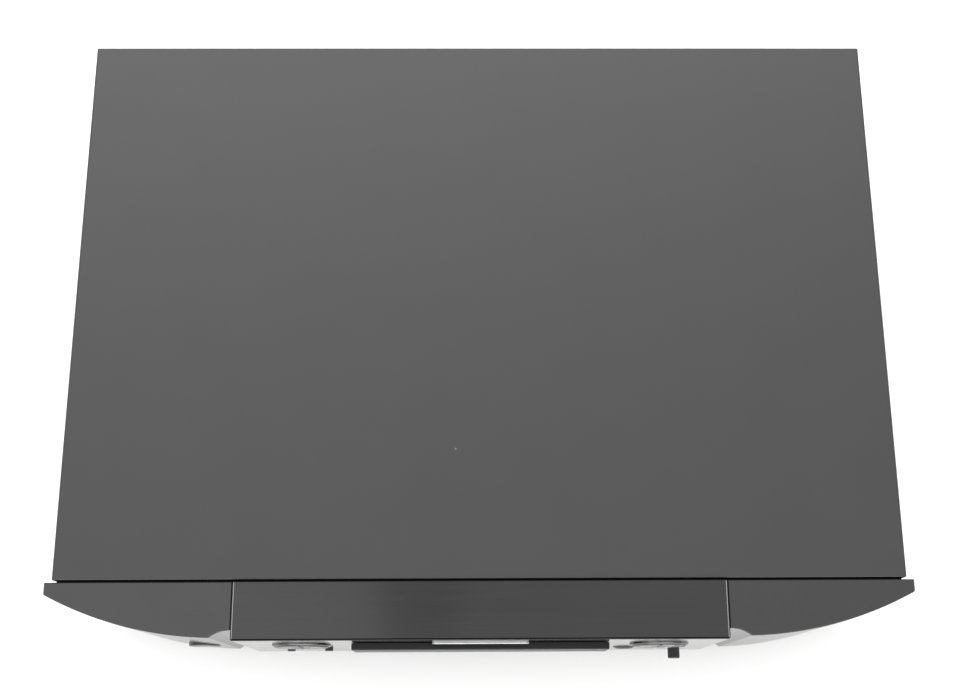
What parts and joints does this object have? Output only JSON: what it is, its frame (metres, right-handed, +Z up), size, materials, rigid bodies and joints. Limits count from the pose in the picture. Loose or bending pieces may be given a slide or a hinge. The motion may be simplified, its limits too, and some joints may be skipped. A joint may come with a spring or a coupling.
{
  "type": "cd player",
  "caption": "Full-width hi-fi disc player with a motorised drawer, round push-button clusters, headphone and USB sockets and a steel case on four feet.",
  "frame": {"origin": "on the surface that the feet stand on, under the middle of the whole box", "axes": "+X to the right seen from the front, +Y to the rear, +Z up; the drawer opens towards -Y"},
  "size_m": [0.44, 0.3468, 0.107],
  "materials": {
    "case_paint": "fine-textured satin black paint",
    "panel_black": "black anodised, hairline brushed",
    "wing_black": "moulded, smooth semi-gloss black",
    "zinc_steel": "zinc plated sheet",
    "black_plastic": "moulded, fine spark texture",
    "grey_plastic": "moulded, satin",
    "white_plastic": "natural acetal, satin",
    "button_black": "moulded, satin gloss",
    "bright_metal": "polished and lacquered",
    "chrome": "bright plating",
    "smoked_window": "smoked acrylic, polished",
    "lens_glass": "coated lens",
    "display_glass": "vacuum display tube",
    "board_green": "solder resist on glass-fibre board",
    "rubber": "matt",
    "tape_amber": "polyester tape over windings",
    "sleeve_black": "printed shrink sleeve without text",
    "cable_white": "flexible flat cable",
    "brass": "gold flashed"
  },
  "bodies": {
    "chassis": {"base_pan": "zinc_steel", "top_cover": "case_paint", "rear_panel": "case_paint", "front_bracket": "case_paint", "left_wing": "wing_black", "right_wing": "wing_black", "centre_fascia": "panel_black", "display_window": "smoked_window", "display_module": "display_glass", "front_circuit_board": "board_green", "badge_bar": "bright_metal", "control_rings": "bright_metal", "usb_socket": "chrome", "headphone_jack": "black_plastic", "level_potentiometer": "grey_plastic", "power_switch": "grey_plastic", "foot_front_left": "black_plastic", "foot_front_right": "black_plastic", "foot_rear_left": "black_plastic", "foot_rear_right": "black_plastic", "foot_pads": "rubber", "case_screws": "chrome", "audio_socket_blocks": "black_plastic", "socket_sleeves": "brass", "optical_output": "black_plastic", "mains_inlet": "black_plastic", "power_transformer": "tape_amber", "power_board": "board_green", "reservoir_capacitors": "sleeve_black", "main_board": "board_green", "ribbon_cable": "cable_white", "loader_frame": "black_plastic", "clamp_bridge": "zinc_steel", "loading_motor": "zinc_steel", "drive_belt": "rubber"},
    "tray": {"disc_tray": "black_plastic", "tray_door": "panel_black"},
    "traverse": {"traverse_frame": "grey_plastic", "guide_rods": "zinc_steel", "spindle_motor": "zinc_steel", "sled_motor": "zinc_steel"},
    "sled": {"laser_sled": "black_plastic", "objective_lens": "lens_glass"},
    "tray_gear": {"tray_gear": "white_plastic"},
    "drive_wheel": {"drive_wheel": "white_plastic"},
    "motor_pulley": {"motor_pulley": "white_plastic"},
    "cam_slider": {"cam_slider": "white_plastic"},
    "turntable": {"turntable": "black_plastic"},
    "clamp_puck": {"clamp_puck": "black_plastic"},
    "sled_gear": {"sled_gear": "white_plastic"},
    "power_button": {"power_button": "button_black"},
    "back_button": {"back_button": "button_black"},
    "forward_button": {"forward_button": "button_black"},
    "play_button": {"play_button": "button_black"},
    "stop_button": {"stop_button": "button_black"},
    "open_button": {"open_button": "button_black"},
    "mode_button": {"mode_button": "button_black"},
    "display_button": {"display_button": "button_black"},
    "level_knob": {"level_knob": "black_plastic"},
    "optical_shutter": {"optical_shutter": "black_plastic"}
  },
  "joints": [
    {"name": "tray_slide", "type": "slide", "parent": "chassis", "child": "tray", "axis": [0, -1, 0], "range_m": [0, 0.132]},
    {"name": "tray_gear_spin", "type": "hinge", "parent": "chassis", "child": "tray_gear", "pos_m": [-0.0355, -0.14155, 0.072], "axis": [0, 0, 1], "range_deg": [0, 630.5]},
    {"name": "drive_wheel_spin", "type": "hinge", "parent": "chassis", "child": "drive_wheel", "pos_m": [-0.0185, -0.14155, 0.066], "axis": [0, 0, 1], "range_deg": [-1513, 0]},
    {"name": "motor_pulley_spin", "type": "hinge", "parent": "chassis", "child": "motor_pulley", "pos_m": [0.025, -0.14155, 0.0624], "axis": [0, 0, 1], "range_deg": [-6303, 0]},
    {"name": "traverse_tilt", "type": "hinge", "parent": "chassis", "child": "traverse", "pos_m": [0, 0.00405, 0.071], "axis": [1, 0, 0], "range_deg": [0, 6]},
    {"name": "cam_slide", "type": "slide", "parent": "chassis", "child": "cam_slider", "axis": [1, 0, 0], "range_m": [0, 0.018]},
    {"name": "turntable_spin", "type": "hinge", "parent": "traverse", "child": "turntable", "pos_m": [0, -0.09835, 0.08], "axis": [0, 0, 1], "continuous": true},
    {"name": "clamp_spin", "type": "hinge", "parent": "chassis", "child": "clamp_puck", "pos_m": [0, -0.09835, 0.088], "axis": [0, 0, 1], "continuous": true},
    {"name": "sled_slide", "type": "slide", "parent": "traverse", "child": "sled", "axis": [0, 1, 0], "range_m": [0, 0.034]},
    {"name": "sled_gear_spin", "type": "hinge", "parent": "traverse", "child": "sled_gear", "pos_m": [0.0335, -0.05535, 0.075], "axis": [0, 0, 1], "range_deg": [-325, 0]},
    {"name": "back_press", "type": "slide", "parent": "chassis", "child": "back_button", "axis": [0, 1, 0], "range_m": [0, 0.0012], "stiffness_N_per_m": 400, "springref_m": -0.0006},
    {"name": "forward_press", "type": "slide", "parent": "chassis", "child": "forward_button", "axis": [0, 1, 0], "range_m": [0, 0.0012], "stiffness_N_per_m": 400, "springref_m": -0.0006},
    {"name": "play_press", "type": "slide", "parent": "chassis", "child": "play_button", "axis": [0, 1, 0], "range_m": [0, 0.0012], "stiffness_N_per_m": 400, "springref_m": -0.0006},
    {"name": "stop_press", "type": "slide", "parent": "chassis", "child": "stop_button", "axis": [0, 1, 0], "range_m": [0, 0.0012], "stiffness_N_per_m": 400, "springref_m": -0.0006},
    {"name": "open_press", "type": "slide", "parent": "chassis", "child": "open_button", "axis": [0, 1, 0], "range_m": [0, 0.0012], "stiffness_N_per_m": 400, "springref_m": -0.0006},
    {"name": "mode_press", "type": "slide", "parent": "chassis", "child": "mode_button", "axis": [0, 1, 0], "range_m": [0, 0.0012], "stiffness_N_per_m": 400, "springref_m": -0.0006},
    {"name": "display_press", "type": "slide", "parent": "chassis", "child": "display_button", "axis": [0, 1, 0], "range_m": [0, 0.0012], "stiffness_N_per_m": 400, "springref_m": -0.0006},
    {"name": "power_press", "type": "slide", "parent": "chassis", "child": "power_button", "axis": [0, 1, 0], "range_m": [0, 0.003], "stiffness_N_per_m": 400, "springref_m": -0.0008},
    {"name": "level_turn", "type": "hinge", "parent": "chassis", "child": "level_knob", "pos_m": [0.1055, -0.17015, 0.043], "axis": [0, 1, 0], "range_deg": [-140, 140]},
    {"name": "shutter_swing", "type": "hinge", "parent": "chassis", "child": "optical_shutter", "pos_m": [0.12, 0.16385, 0.0797], "axis": [-1, 0, 0], "range_deg": [0, 80], "stiffness_Nm_per_rad": 0.0002, "springref_deg": -11.46}
  ],
  "couplings": [
    {"joint": "tray_gear_spin", "follows": "tray_slide", "rad_per_m": 83.333},
    {"joint": "drive_wheel_spin", "follows": "tray_slide", "rad_per_m": -200},
    {"joint": "motor_pulley_spin", "follows": "tray_slide", "rad_per_m": -833.33},
    {"joint": "cam_slide", "follows": "traverse_tilt", "m_per_rad": 0.17189},
    {"joint": "clamp_spin", "follows": "turntable_spin", "ratio": 1},
    {"joint": "sled_gear_spin", "follows": "sled_slide", "rad_per_m": -166.67}
  ]
}
